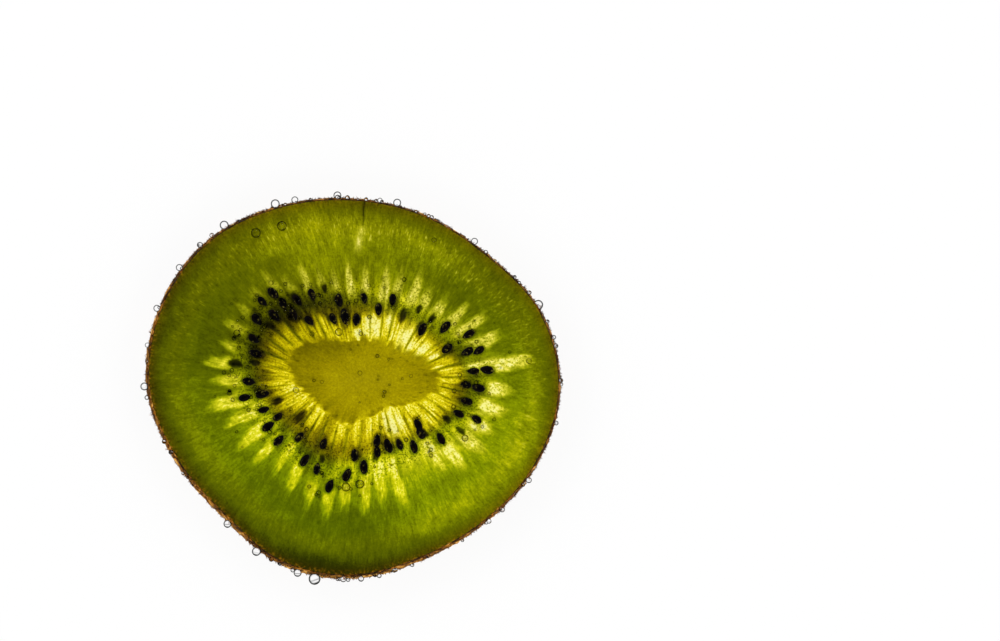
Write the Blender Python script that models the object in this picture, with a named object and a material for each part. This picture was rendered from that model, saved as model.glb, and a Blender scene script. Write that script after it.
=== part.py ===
"""A fresh kiwi slice, cut across the fruit and lying flat with its seeded face up.

Two pieces: the green flesh, a ring with its brown skin on it and its seeds fused to the
upper face, and the pale core, a plug that fills the hole in the ring.

+X runs along the slice's longest width, +Y along its shorter one, and +Z up. The origin is
at the middle of the slice's box, on the surface that it lies on.
"""
import math
import random

import bmesh
import bpy
from mathutils import Matrix, Vector

# Driving dimensions, in metres
SLICE_WIDTH = 0.054
SLICE_THICKNESS = 0.005
CORE_CENTRE = Vector((0.00116, 0.00116))
CORE_GAP = 0.0003
MM = 0.001

# Half widths of the cut face in millimetres at equal turns, anticlockwise from +X:
# the rim about the slice's middle, and the core's edge about the core's own centre
RIM_RADII = (26.8, 26.3, 24.6, 24.4, 24.7, 25.7, 27.1, 27.4, 26.9, 25.0, 23.8, 24.7, 24.6, 23.9, 24.4, 25.7)
CORE_RADII = (9.6, 7.1, 5.7, 5.2, 5.1, 5.4, 7.0, 9.7, 8.9, 6.9, 6.3, 6.0, 5.0, 4.7, 4.8, 7.3)

# The cut passes nearer one end of the fruit, so the skin leans in towards the upper face,
# and it leans most on the side at LEAN_SIDE
LEAN = 0.00045
LEAN_SWING = 0.0003
LEAN_SIDE = math.radians(225)

# Seed pockets stand round the core like spokes, and a turn is counted in pockets. Each
# drift wave has its number of swings, its size in pockets and the side where it peaks:
# together they crowd the pockets on two sides. RAY_TURN under 1 fans the rays out from the
# core's long sides
POCKETS = 42
COLUMNS_PER_POCKET = 4
FIRST_POCKET = 0.16
DRIFT_WAVES = ((1, 0.54, math.radians(0)), (2, 0.58, math.radians(58)))
RAY_TURN = 0.55

# Upper face, as rises and falls from the slice's thickness
POCKET_RELIEF = 0.00010
SEED_BELT_DIP = 0.00022
SEED_BELT_MIDDLE = 0.26
SEED_BELT_WIDTH = 0.16
RIM_FALL = 0.00030
RIM_FALL_START = 0.8
CORE_DOME = 0.00022
CORE_EDGE_FALL = 0.00012

# Rows of the upper face, from 0 at the core to 1 at the skin
FACE_ROWS = (0.0, 0.05, 0.12, 0.19, 0.26, 0.33, 0.40, 0.48, 0.58, 0.70, 0.82, 0.92, 0.975)
CORE_ROWS = (0.97, 0.82, 0.62, 0.38)
CORE_COLUMNS_PER_POCKET = 2

# Rows of the skin, as shares of its lean and of its height, and the rounding at its edges
SKIN_ROWS = ((0.35, 0.62), (0.75, 0.30))
EDGE_ROUND = 0.0003

# Which seed rows each pocket fills, - for an empty one, and how far out each row lies. A
# capital stands for a seed that has grown large
POCKET_SEEDS = (
    "ce de be d b - - d b c a Ac a d ad bde ce d c B - "
    "c bd c bd D b d ad e bd c ab B b c ab d - ce c bd"
).split()
SEED_ROWS = {"a": 0.15, "b": 0.23, "c": 0.29, "d": 0.345, "e": 0.43}
SEED_LENGTH = 0.0020
SEED_WIDTH = 0.0011
SEED_HEIGHT = 0.0008
SEED_PROUD = 0.00028
SEED_TAPER = 0.22
LARGE_SEED = 1.22
SEED_SEGMENTS = 6
SEED_RINGS = 4

# How unevenly the seeds lie
SEED_DRAW = 2311
SIDE_SCATTER = 0.2
ROW_SCATTER = 0.02
TILT_SCATTER = math.radians(16)
SIZE_SCATTER = 0.15


def smooth_loop(values, angle):
    """Read a closed row of values at an angle, on a smooth curve through them."""
    count = len(values)
    place = (angle / math.tau % 1) * count
    first = math.floor(place)
    part = place - first
    before, here, there, after = (values[(first + step) % count] for step in (-1, 0, 1, 2))
    bend = 2 * before - 5 * here + 4 * there - after
    twist = 3 * here - 3 * there + after - before
    return 0.5 * (2 * here + (there - before) * part + bend * part ** 2 + twist * part ** 3)


def polar(radius, angle):
    """Give the flat point at a distance and an angle."""
    return Vector((radius * math.cos(angle), radius * math.sin(angle)))


def ray_angle(turn):
    """Give the angle of the ray at a turn, which is counted in pockets."""
    around = math.tau * turn / POCKETS
    drift = sum(size * math.cos(swings * (around - peak)) for swings, size, peak in DRIFT_WAVES)
    return math.tau * (turn + FIRST_POCKET + drift) / POCKETS


def ray_angles(columns_per_pocket):
    """List the rays' angles right round the slice, with the same number in each pocket."""
    return [ray_angle(column / columns_per_pocket) for column in range(POCKETS * columns_per_pocket)]


def rim_point(angle):
    """Give the skin's outermost point at an angle, before the outline is centred."""
    return polar(smooth_loop(RIM_RADII, angle) * MM, angle)


def core_point(angle):
    """Give the point on the core's edge from which the ray at an angle sets out."""
    turned = math.atan2(RAY_TURN * math.sin(angle), math.cos(angle))
    return CORE_CENTRE + polar(smooth_loop(CORE_RADII, turned) * MM, turned)


def outline_fit():
    """Find the shift and the scale that centre the rim and give it the slice's width."""
    rim = [rim_point(angle) for angle in ray_angles(COLUMNS_PER_POCKET)]
    left, right = min(point.x for point in rim), max(point.x for point in rim)
    front, back = min(point.y for point in rim), max(point.y for point in rim)
    middle = Vector(((left + right) / 2, (front + back) / 2))
    return middle, SLICE_WIDTH / (right - left)


MIDDLE, FIT = outline_fit()


def lean(angle):
    """Give how far the upper edge of the skin stands in from the lower one."""
    return LEAN + LEAN_SWING * math.cos(angle - LEAN_SIDE)


def rim_edge(angle, inset):
    """Give a point of the rim, moved in towards the middle."""
    point = (rim_point(angle) - MIDDLE) * FIT
    return point - point.normalized() * inset


def core_edge(angle, inset):
    """Give a point of the core's edge, moved in towards the core's centre."""
    centre = (CORE_CENTRE - MIDDLE) * FIT
    point = (core_point(angle) - MIDDLE) * FIT
    return point - (point - centre).normalized() * inset


def face_point(angle, row):
    """Give the flat point on the upper face at a ray and a row."""
    inner = core_edge(angle, -CORE_GAP / 2)
    outer = rim_edge(angle, lean(angle))
    return inner.lerp(outer, row)


def face_height(turn, row):
    """Give the height of the flesh's upper face: low pockets between higher walls."""
    belt = math.exp(-((row - SEED_BELT_MIDDLE) / SEED_BELT_WIDTH) ** 2)
    height = SLICE_THICKNESS - SEED_BELT_DIP * belt
    height += POCKET_RELIEF * belt * math.cos(math.tau * turn)
    past_start = max(0.0, (row - RIM_FALL_START) / (1 - RIM_FALL_START))
    return height - RIM_FALL * past_start ** 2


def raised(point, height):
    """Lift a flat point to a height."""
    return Vector((point.x, point.y, height))


def flesh_rings():
    """List the rings round the flesh's cross-section, from the hole over the face and back."""
    angles = ray_angles(COLUMNS_PER_POCKET)
    rings = []
    for row in FACE_ROWS:
        ring = []
        for column, angle in enumerate(angles):
            height = face_height(column / COLUMNS_PER_POCKET, row)
            ring.append(raised(face_point(angle, row), height))
        rings.append(ring)
    rim_top = SLICE_THICKNESS - RIM_FALL
    skin_rows = [(0.0, rim_top - EDGE_ROUND)]
    skin_rows += [(share, rim_top * level) for share, level in SKIN_ROWS]
    skin_rows.append((1.0, EDGE_ROUND))
    for share, height in skin_rows:
        rings.append([raised(rim_edge(angle, lean(angle) * (1 - share)), height) for angle in angles])
    rings.append([raised(rim_edge(angle, EDGE_ROUND), 0.0) for angle in angles])
    rings.append([raised(core_edge(angle, -CORE_GAP / 2), 0.0) for angle in angles])
    return rings


def principled(name, colour, roughness):
    """Make a plain material with a colour and a roughness."""
    material = bpy.data.materials.new(name)
    material.use_nodes = True
    shader = material.node_tree.nodes["Principled BSDF"]
    shader.inputs["Base Color"].default_value = (*colour, 1.0)
    shader.inputs["Roughness"].default_value = roughness
    shader.inputs["Metallic"].default_value = 0.0
    return material


def add_object(name, mesh_builder, collection=None):
    """Turn a bmesh into a smooth-shaded object in the scene."""
    mesh = bpy.data.meshes.new(name)
    bmesh.ops.recalc_face_normals(mesh_builder, faces=mesh_builder.faces)
    mesh_builder.to_mesh(mesh)
    mesh_builder.free()
    mesh.shade_smooth()
    mesh.set_sharp_from_angle(angle=math.radians(50))
    made = bpy.data.objects.new(name, mesh)
    (collection or bpy.context.scene.collection).objects.link(made)
    return made


def band(mesh_builder, first, second):
    """Join two rings of vertices with a band of faces and return the faces."""
    count = len(first)
    faces = []
    for index in range(count):
        after = (index + 1) % count
        corners = (first[index], first[after], second[after], second[index])
        faces.append(mesh_builder.faces.new(corners))
    return faces


def build_flesh():
    """Make the ring of flesh, with the skin's material on its outer side."""
    mesh_builder = bmesh.new()
    rings = [[mesh_builder.verts.new(point) for point in ring] for ring in flesh_rings()]
    skin_start = len(FACE_ROWS)
    skin_end = len(rings) - 2
    for index, ring in enumerate(rings):
        faces = band(mesh_builder, ring, rings[(index + 1) % len(rings)])
        if skin_start <= index < skin_end:
            for face in faces:
                face.material_index = 1
    flesh = add_object("flesh", mesh_builder)
    flesh.data.materials.append(principled("flesh", (0.22, 0.27, 0.01), 0.3))
    flesh.data.materials.append(principled("skin", (0.09, 0.045, 0.012), 0.8))
    return flesh


def seed_places():
    """List each seed's turn, row, tilt and size by the rows that its pocket fills."""
    draw = random.Random(SEED_DRAW)
    places = []
    for pocket, rows in enumerate(POCKET_SEEDS):
        for letter in rows.replace("-", ""):
            turn = pocket + 0.5 + draw.uniform(-SIDE_SCATTER, SIDE_SCATTER)
            row = SEED_ROWS[letter.lower()] + draw.uniform(-ROW_SCATTER, ROW_SCATTER)
            tilt = draw.uniform(-TILT_SCATTER, TILT_SCATTER)
            size = 1 + draw.uniform(-SIZE_SCATTER, SIZE_SCATTER)
            if letter.isupper():
                size *= LARGE_SEED
            places.append((turn, row, tilt, size))
    return places


def build_seed(number, place, collection, material):
    """Make one drop-shaped seed that lies along its ray, half sunk in the face."""
    turn, row, tilt, size = place
    mesh_builder = bmesh.new()
    bmesh.ops.create_uvsphere(
        mesh_builder, u_segments=SEED_SEGMENTS, v_segments=SEED_RINGS, radius=1.0
    )
    for vertex in mesh_builder.verts:
        slimmer = 1 - SEED_TAPER * vertex.co.z
        vertex.co.x *= slimmer
        vertex.co.y *= slimmer
    lying = Matrix.Rotation(math.radians(-90), 4, "Y")
    half_size = Vector((SEED_LENGTH, SEED_WIDTH, SEED_HEIGHT)) * size / 2
    angle = ray_angle(turn)
    inner = face_point(angle, 0.0)
    outer = face_point(angle, 1.0)
    along = math.atan2(outer.y - inner.y, outer.x - inner.x) + tilt
    height = face_height(turn, row) + SEED_PROUD - half_size.z
    placed = Matrix.Translation(raised(face_point(angle, row), height)) @ Matrix.Rotation(along, 4, "Z")
    mesh_builder.transform(placed @ Matrix.Diagonal((*half_size, 1.0)) @ lying)
    seed = add_object(f"seed_{number:02d}", mesh_builder, collection)
    seed.data.materials.append(material)
    return seed


def fuse_seeds(flesh):
    """Join every seed to the flesh in one union, then remove the loose seeds."""
    seeds = bpy.data.collections.new("seeds")
    bpy.context.scene.collection.children.link(seeds)
    material = principled("seed", (0.004, 0.004, 0.005), 0.25)
    for number, place in enumerate(seed_places()):
        build_seed(number, place, seeds, material)
    union = flesh.modifiers.new("seeds", "BOOLEAN")
    union.operation = "UNION"
    union.solver = "EXACT"
    union.operand_type = "COLLECTION"
    union.collection = seeds
    union.material_mode = "TRANSFER"
    bpy.context.view_layer.objects.active = flesh
    bpy.ops.object.modifier_apply(modifier=union.name)
    for seed in list(seeds.objects):
        bpy.data.objects.remove(seed)
    bpy.data.collections.remove(seeds)


def build_core():
    """Make the core, a plug with a softly domed upper face."""
    angles = ray_angles(CORE_COLUMNS_PER_POCKET)
    edge = [core_edge(angle, CORE_GAP / 2) for angle in angles]
    centre = (CORE_CENTRE - MIDDLE) * FIT
    top_edge = SLICE_THICKNESS - CORE_EDGE_FALL
    rings = [[raised(point, 0.0) for point in edge], [raised(point, top_edge) for point in edge]]
    for row in CORE_ROWS:
        height = SLICE_THICKNESS + CORE_DOME * (1 - row ** 2)
        rings.append([raised(centre.lerp(point, row), height) for point in edge])
    mesh_builder = bmesh.new()
    rings = [[mesh_builder.verts.new(point) for point in ring] for ring in rings]
    for first, second in zip(rings, rings[1:]):
        band(mesh_builder, first, second)
    mesh_builder.faces.new(rings[0])
    tip = mesh_builder.verts.new(raised(centre, SLICE_THICKNESS + CORE_DOME))
    for first, second in zip(rings[-1], rings[-1][1:] + rings[-1][:1]):
        mesh_builder.faces.new((first, second, tip))
    core = add_object("core", mesh_builder)
    core.data.materials.append(principled("core", (0.34, 0.27, 0.01), 0.35))
    return core


def main():
    """Build the slice in an empty scene."""
    for leftover in list(bpy.data.objects):
        bpy.data.objects.remove(leftover)
    flesh = build_flesh()
    fuse_seeds(flesh)
    build_core()


main()
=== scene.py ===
"""Looks of a fresh kiwi slice, cut across the fruit and lying flat with its seeded face up.

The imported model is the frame. One closed body of fruit stands for the flesh and the core, so
that no seam parts them. The skin, its fuzz, the seeds and the clear beads are pieces of their
own on that body. Sizes are in metres.

Two numbers place every detail of the fruit. A turn runs round the slice and is counted in
seed pockets, anticlockwise from near +X. A row runs outwards, from -1 at the core's middle
over 0 at the core's edge to 1 at the skin.
"""

import logging
import math
import random
from contextlib import contextmanager
from dataclasses import dataclass
from enum import Enum
from functools import cached_property, partialmethod
from typing import Callable, Iterator, NamedTuple, Sequence

import bmesh
import bpy
import numpy as np
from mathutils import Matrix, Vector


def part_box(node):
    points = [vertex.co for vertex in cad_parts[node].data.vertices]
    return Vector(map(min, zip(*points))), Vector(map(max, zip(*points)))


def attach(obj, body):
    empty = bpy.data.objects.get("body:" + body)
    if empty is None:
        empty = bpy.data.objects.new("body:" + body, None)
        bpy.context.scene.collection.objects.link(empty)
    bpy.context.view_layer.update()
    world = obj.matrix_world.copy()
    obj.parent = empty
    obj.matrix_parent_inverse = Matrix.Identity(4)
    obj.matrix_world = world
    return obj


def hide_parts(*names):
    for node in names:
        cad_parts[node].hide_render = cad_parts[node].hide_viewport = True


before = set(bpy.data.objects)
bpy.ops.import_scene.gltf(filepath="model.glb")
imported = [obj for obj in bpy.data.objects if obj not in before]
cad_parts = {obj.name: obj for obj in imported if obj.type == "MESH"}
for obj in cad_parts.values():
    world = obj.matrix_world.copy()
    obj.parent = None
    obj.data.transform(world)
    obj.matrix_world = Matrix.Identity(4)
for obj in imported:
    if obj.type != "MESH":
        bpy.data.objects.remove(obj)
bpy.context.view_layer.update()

log = logging.getLogger("kiwi_slice")

Array = np.ndarray
Colour = tuple[float, float, float, float]
Piece = bpy.types.Object
Material = bpy.types.Material
Socket = bpy.types.NodeSocket

MM = 0.001
BODY = "root"

# How near a modelled point lies to the place that it is selected by
NEAR = 1e-4

# Seed pockets round the slice, which turns are counted in
POCKETS = 42

# The photo's frame, and where the slice stands in it
PHOTO_PIXELS = (1000, 641)
SLICE_PIXELS = 418
SLICE_MIDDLE_PIXEL = (352, 389)

# How brightly the studio lights a level face, against a face that sends all light back
STUDIO_LIGHT = 1.18


def fade(values: Array, start: float, end: float) -> Array:
    """Rise softly from 0 to 1 between two values."""
    share = np.clip((values - start) / (end - start), 0.0, 1.0)
    return share * share * (3 - 2 * share)


def hump(values: Array, middle: float, width: float) -> Array:
    """Give a soft hump of height 1 round a middle, down to about a third at its width."""
    return np.exp(-(((values - middle) / width) ** 2))


def blend(first: Array, second: Array | float, share: Array) -> Array:
    """Go from one row of values to another by a share."""
    return first + (second - first) * share


def polar(radius: Array, angle: Array) -> Array:
    """Give the flat points at distances and angles."""
    return np.stack([radius * np.cos(angle), radius * np.sin(angle)], -1)


def smooth_loop(values: Sequence[float], angle: Array) -> Array:
    """Read a closed row of values at angles, on a smooth curve through them.

    Args:
        values: The values, at equal turns.
        angle: The angles to read at, in radians.

    Returns:
        The curve at each angle.
    """
    row = np.asarray(values, float)
    place = (angle / math.tau % 1) * len(row)
    first = np.floor(place).astype(int)
    part = place - first
    before, here, there, after = (row[(first + step) % len(row)] for step in (-1, 0, 1, 2))
    bend = 2 * before - 5 * here + 4 * there - after
    twist = 3 * here - 3 * there + after - before
    return 0.5 * (2 * here + (there - before) * part + bend * part**2 + twist * part**3)


class Spots(NamedTuple):
    """Spots in the fruit by their turns and rows, with their flat points where those count."""

    turn: Array
    row: Array
    xy: Array | None = None


def grain(at: Spots, per_pocket: float, per_row: float, draw: int) -> Array:
    """Read soft random grain laid out in turns and rows, so that it closes round the slice.

    Args:
        at: The spots.
        per_pocket: Grains across one pocket.
        per_row: Grains from the core's edge to the skin.
        draw: Seed of the draw.

    Returns:
        The grain, from -0.5 to 0.5.
    """
    around = round(POCKETS * per_pocket)
    lattice = np.random.default_rng(draw).random((math.ceil(per_row * 2) + 4, around)) - 0.5
    across, out = at.turn / POCKETS * around, (at.row + 1) * per_row
    column, line = np.floor(across).astype(int), np.floor(out).astype(int)
    aside, outward = fade(across - column, 0, 1), fade(out - line, 0, 1)
    near, far = column % around, (column + 1) % around
    lower = blend(lattice[line, near], lattice[line, far], aside)
    return blend(lower, blend(lattice[line + 1, near], lattice[line + 1, far], aside), outward)


class Tone(NamedTuple):
    """How one quality of the fruit goes round: a mean, and waves of swings, size and peak in degrees."""

    mean: float
    waves: tuple[tuple[int, float, float], ...]

    def around(self, turn: Array) -> Array:
        """Read the tone at turns."""
        angle = math.tau * turn / POCKETS
        return self.mean + sum(
            size * np.cos(swings * (angle - math.radians(peak))) for swings, size, peak in self.waves
        )


@dataclass(frozen=True)
class SliceForm:
    """The slice's true form, by the same named sizes and rules as its solids.

    A scratch program fitted the rim's and the core's radii to finer readings of their outlines,
    and the pocket drift to the places of the pockets.
    """

    width: float
    thickness: float = 5.0 * MM
    core_centre: tuple[float, float] = (1.16 * MM, 1.16 * MM)
    core_gap: float = 0.3 * MM
    rim_radii: tuple[float, ...] = (
        26.8, 26.3, 24.6, 24.4, 24.7, 25.7, 27.1, 27.4, 26.9, 25.0, 23.8, 24.7, 24.6, 23.9, 24.4, 25.7,
    )
    core_radii: tuple[float, ...] = (
        9.6, 7.1, 5.7, 5.2, 5.1, 5.4, 7.0, 9.7, 8.9, 6.9, 6.3, 6.0, 5.0, 4.7, 4.8, 7.3,
    )
    lean_mean: float = 0.45 * MM
    lean_swing: float = 0.30 * MM
    lean_side: float = math.radians(225)
    outline_columns: int = 4
    pocket_drift: Tone = Tone(0.16, ((1, 0.54, 0), (2, 0.58, 58)))
    ray_turn: float = 0.55
    pocket_relief: float = 0.10 * MM
    belt_dip: float = 0.22 * MM
    belt_middle: float = 0.26
    belt_width: float = 0.16
    rim_fall: float = 0.30 * MM
    rim_fall_start: float = 0.8
    core_dome: float = 0.22 * MM
    edge_round: float = 0.3 * MM

    def ray_angle(self, turn: Array) -> Array:
        """Give the angle of the ray at each turn."""
        return math.tau * (turn + self.pocket_drift.around(turn)) / POCKETS

    def rim_curve(self, angle: Array) -> Array:
        """Give the skin's outermost points before the outline is centred."""
        return polar(smooth_loop(self.rim_radii, angle) * MM, angle)

    @property
    def rim_height(self) -> float:
        """Give the height of the upper face at the skin."""
        return self.thickness - self.rim_fall

    @cached_property
    def fit(self) -> tuple[Array, float]:
        """Find the shift and the scale that centre the rim and give it the slice's width.

        Returns:
            The shift and the scale.
        """
        turns = np.arange(POCKETS * self.outline_columns) / self.outline_columns
        rim = self.rim_curve(self.ray_angle(turns))
        low, high = rim.min(0), rim.max(0)
        return (low + high) / 2, self.width / (high[0] - low[0])

    @cached_property
    def centre(self) -> Array:
        """Give the core's middle."""
        middle, scale = self.fit
        return (np.array(self.core_centre) - middle) * scale

    def lean(self, angle: Array) -> Array:
        """Give how far the skin's upper edge stands in from its lower one."""
        return self.lean_mean + self.lean_swing * np.cos(angle - self.lean_side)

    def rim_edge(self, angle: Array, inset: Array) -> Array:
        """Give points of the rim, moved in towards the middle.

        Args:
            angle: Their angles.
            inset: How far each is moved in.

        Returns:
            The flat points.
        """
        middle, scale = self.fit
        point = (self.rim_curve(angle) - middle) * scale
        return point * (1 - (inset / np.linalg.norm(point, axis=-1)))[..., None]

    def core_edge(self, angle: Array) -> Array:
        """Give points of the core's edge.

        Args:
            angle: The angles of their rays.

        Returns:
            The flat points.
        """
        middle, scale = self.fit
        turned = np.arctan2(self.ray_turn * np.sin(angle), np.cos(angle))
        point = np.array(self.core_centre) + polar(smooth_loop(self.core_radii, turned) * MM, turned)
        arm = (point - middle) * scale - self.centre
        reach = np.linalg.norm(arm, axis=-1)
        return self.centre + arm * (1 + self.core_gap / 2 / reach)[..., None]

    def place(self, at: Spots) -> Array:
        """Give the flat points of spots on the cut face.

        Args:
            at: The spots.

        Returns:
            The points' x and y.
        """
        angle = self.ray_angle(at.turn)
        core = self.core_edge(angle)
        outward = blend(core, self.rim_edge(angle, self.lean(angle)), np.clip(at.row, 0, None)[..., None])
        inward = blend(core, self.centre, np.clip(-at.row, 0, 1)[..., None])
        return np.where((at.row >= 0)[..., None], outward, inward)

    def height(self, at: Spots) -> Array:
        """Give the height of the upper face: a low dome, low pockets and a fallen rim.

        Args:
            at: The spots.

        Returns:
            The height at each.
        """
        belt = hump(at.row, self.belt_middle, self.belt_width)
        flesh = self.pocket_relief * belt * np.cos(math.tau * at.turn) - self.belt_dip * belt
        past_start = np.clip((at.row - self.rim_fall_start) / (1 - self.rim_fall_start), 0, None)
        dome = self.core_dome * (1 - (1 + np.clip(at.row, -1, 0)) ** 2)
        return self.thickness + np.where(at.row >= 0, flesh - self.rim_fall * past_start**2, dome)


class Seed(NamedTuple):
    """One seed: its turn and row, its size against the common one, and its tilt."""

    turn: float
    row: float
    size: float
    tilt: float = 0.0


@dataclass(frozen=True)
class SeedPlan:
    """Where the seeds lie in the form, by the same rule and draw as in the solids.

    Each pocket names the rows that it fills, - for none. A capital is a seed grown large.
    """

    form: SliceForm
    pockets: str = (
        "ce de be d b - - d b c a Ac a d ad bde ce d c B - "
        "c bd c bd D b d ad e bd c ab B b c ab d - ce c bd"
    )
    rows: tuple[tuple[str, float], ...] = (("a", 0.15), ("b", 0.23), ("c", 0.29), ("d", 0.345), ("e", 0.43))
    length: float = 2.0 * MM
    breadth: float = 1.1 * MM
    height: float = 0.8 * MM
    proud: float = 0.28 * MM
    taper: float = 0.22
    large: float = 1.22
    draw: int = 2311
    side_scatter: float = 0.2
    row_scatter: float = 0.02
    tilt_scatter: float = math.radians(16)
    size_scatter: float = 0.15

    @cached_property
    def seeds(self) -> list[Seed]:
        """List the seeds in the order of their pockets.

        Returns:
            The seeds.
        """
        draw, row_of, found = random.Random(self.draw), dict(self.rows), []
        for pocket, letters in enumerate(self.pockets.split()):
            for letter in letters.replace("-", ""):
                turn = pocket + 0.5 + draw.uniform(-self.side_scatter, self.side_scatter)
                row = row_of[letter.lower()] + draw.uniform(-self.row_scatter, self.row_scatter)
                tilt = draw.uniform(-self.tilt_scatter, self.tilt_scatter)
                size = 1 + draw.uniform(-self.size_scatter, self.size_scatter)
                found.append(Seed(turn, row, size * (self.large if letter.isupper() else 1), tilt))
        return found

    def pose(self, seed: Seed) -> tuple[Array, float]:
        """Give a seed's flat middle and the angle that its blunt end points at.

        Args:
            seed: The seed.

        Returns:
            The middle and the angle.
        """
        middle, inner, outer = self.form.place(Spots(np.full(3, seed.turn), np.array([seed.row, 0.0, 1.0])))
        arm = outer - inner
        return middle, math.atan2(arm[1], arm[0]) + seed.tilt

    def reach(self, seed: Seed, xy: Array) -> Array:
        """Measure points against a seed's outline.

        Args:
            seed: The seed.
            xy: The points.

        Returns:
            0 at the seed's middle, 1 on its outline and more outside.
        """
        middle, heading = self.pose(seed)
        ahead, aside = (polar(1.0, heading + turn) for turn in (0, math.pi / 2))
        along = (xy - middle) @ ahead / (self.length * seed.size / 2)
        across = (xy - middle) @ aside / (self.breadth * seed.size / 2)
        return np.hypot(along, across / (1 + self.taper * np.clip(along, -1, 1)))


# Seeds that lie deeper and show as dark smudges: turn, row and size
DEEP_SEEDS = tuple(Seed(*row) for row in (
    (4.5, 0.345, 0.8), (5.5, 0.35, 0.7), (6.35, 0.25, 1.1), (12.5, 0.38, 0.7), (13.6, 0.33, 0.8),
    (14.7, 0.34, 1.0), (15.5, 0.22, 1.0), (17.1, 0.24, 0.9), (20.1, 0.24, 0.9), (20.4, 0.38, 1.1),
    (23.3, 0.17, 0.9), (25.5, 0.13, 1.1), (28.6, 0.26, 0.7), (30.4, 0.34, 0.8), (32.3, 0.25, 1.0),
    (36.6, 0.23, 1.0), (38.6, 0.24, 0.8), (38.6, 0.38, 0.8),
))


class Mottle(NamedTuple):
    """A grain in a tissue's brightness: grains a pocket and a row, seed of the draw, strength."""

    per_pocket: float
    per_row: float
    draw: int
    strength: float


class Tissue(Enum):
    """The fruit's tissues from the middle out: the tone of their brightness, its lift and its grains.

    A scratch program fitted the tones' waves to brightness measured in the photo, and some were
    then changed by hand.
    """

    CORE = (Tone(0.485, ((1, 0.057, 319), (2, 0.037, 65), (3, 0.030, 64))), 1.0, ())
    RING = (Tone(0.765, ((1, 0.110, 12), (2, 0.062, 68), (3, 0.075, 68), (4, 0.035, 25))), 1.08,
            (Mottle(2.6, 3, 8, 0.46), Mottle(9, 26, 15, 0.14)))
    BELT = (Tone(0.355, ((1, 0.095, 311), (2, 0.048, 80), (3, 0.070, 63))), 1.14,
            (Mottle(6, 30, 12, 0.42), Mottle(1.8, 10, 14, 0.34), Mottle(3, 3, 24, 0.36)))
    OUTER = (Tone(0.427, ((1, 0.049, 1), (2, 0.040, 121), (3, 0.077, 88), (4, 0.023, 39))), 1.0,
             (Mottle(0.5, 5, 3, 0.22), Mottle(2, 11, 2, 0.16), Mottle(5, 20, 1, 0.16)))

    def level(self, at: Spots) -> Array:
        """Read the tissue's mottled brightness at spots."""
        tone, lift, mottles = self.value
        return tone.around(at.turn) * (lift + sum(part.strength * grain(at, *part[:3]) for part in mottles))


CORE_HEART = 0.535
CORE_STREAKS = Tone(0.52, ((1, 0.34, 236),))
RING_START = Tone(-0.010, ((1, 0.045, 40), (3, 0.016, 145)))
# The row that the ring ends at, at equal turns from pocket 1.5
RING_ENDS = (0.19, 0.215, 0.20, 0.15, 0.15, 0.15, 0.145, 0.14, 0.12, 0.115, 0.115, 0.195, 0.19, 0.17)
RING_ENDS_START = 1.5
RING_TOP = 0.92
PALE_LEVEL = 1.06
FLAME_SPREAD = Tone(0.28, ((1, 0.22, 300),))
FLAME_SKEW = Tone(0.15, ((1, 0.30, 262),))
FLAME_CREAM = Tone(0.34, ((1, 0.40, 66), (3, 0.05, 90)))
FLAME_SPECKS = Tone(0.20, ((1, 0.16, 50),))
RIM_SHADE = Tone(0.345, ((1, 0.112, 250), (2, 0.086, 78), (3, 0.040, 84)))
LEAFINESS = Tone(0.73, ((1, 0.164, 269), (2, 0.045, 32)))
FIBRE_SHOW = Tone(0.35, ((1, 0.45, 78), (2, 0.10, 20)))
RUST = Tone(0.56, ((1, 0.30, 235), (3, 0.08, 200)))

# Near-white patches of the ring: turn, row, half width in pockets, half height in rows
PALE_PATCHES = ((5.60, 0.10, 0.50, 0.095), (8.45, 0.10, 0.34, 0.07), (9.1, 0.12, 0.30, 0.08),
                (7.35, 0.19, 0.30, 0.07), (34.4, 0.12, 0.42, 0.09), (35.2, 0.10, 0.30, 0.05),
                (3.5, 0.08, 0.34, 0.06), (33.7, 0.06, 0.26, 0.05), (4.6, 0.06, 0.25, 0.05),
                (2.4, 0.10, 0.16, 0.05), (10.4, 0.05, 0.40, 0.03))


class Lines(NamedTuple):
    """Soft dark lines that run outwards, one a pocket: their start in it and how far they vary."""

    start: float
    strength: tuple[float, float]
    width: tuple[float, float]
    shift: float
    slant: float
    pivot: float
    wander: float
    draw: int


WALLS = Lines(0.0, (0.40, 1.0), (0.08, 0.15), 0.08, 0.4, 0.2, 0.12, 25)
CREASES = tuple(Lines(start, (0.0, 0.46), (0.05, 0.09), 0.09, 0.8, 0.1, 0.14, 9) for start in (0.34, 0.67))


class Flame(NamedTuple):
    """A pale flame: its middle turn, the rows of foot and tip, brightness, half width and slant."""

    middle: float
    foot: float
    tip: float
    glow: float
    half: float
    slant: float = 0.0


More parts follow.
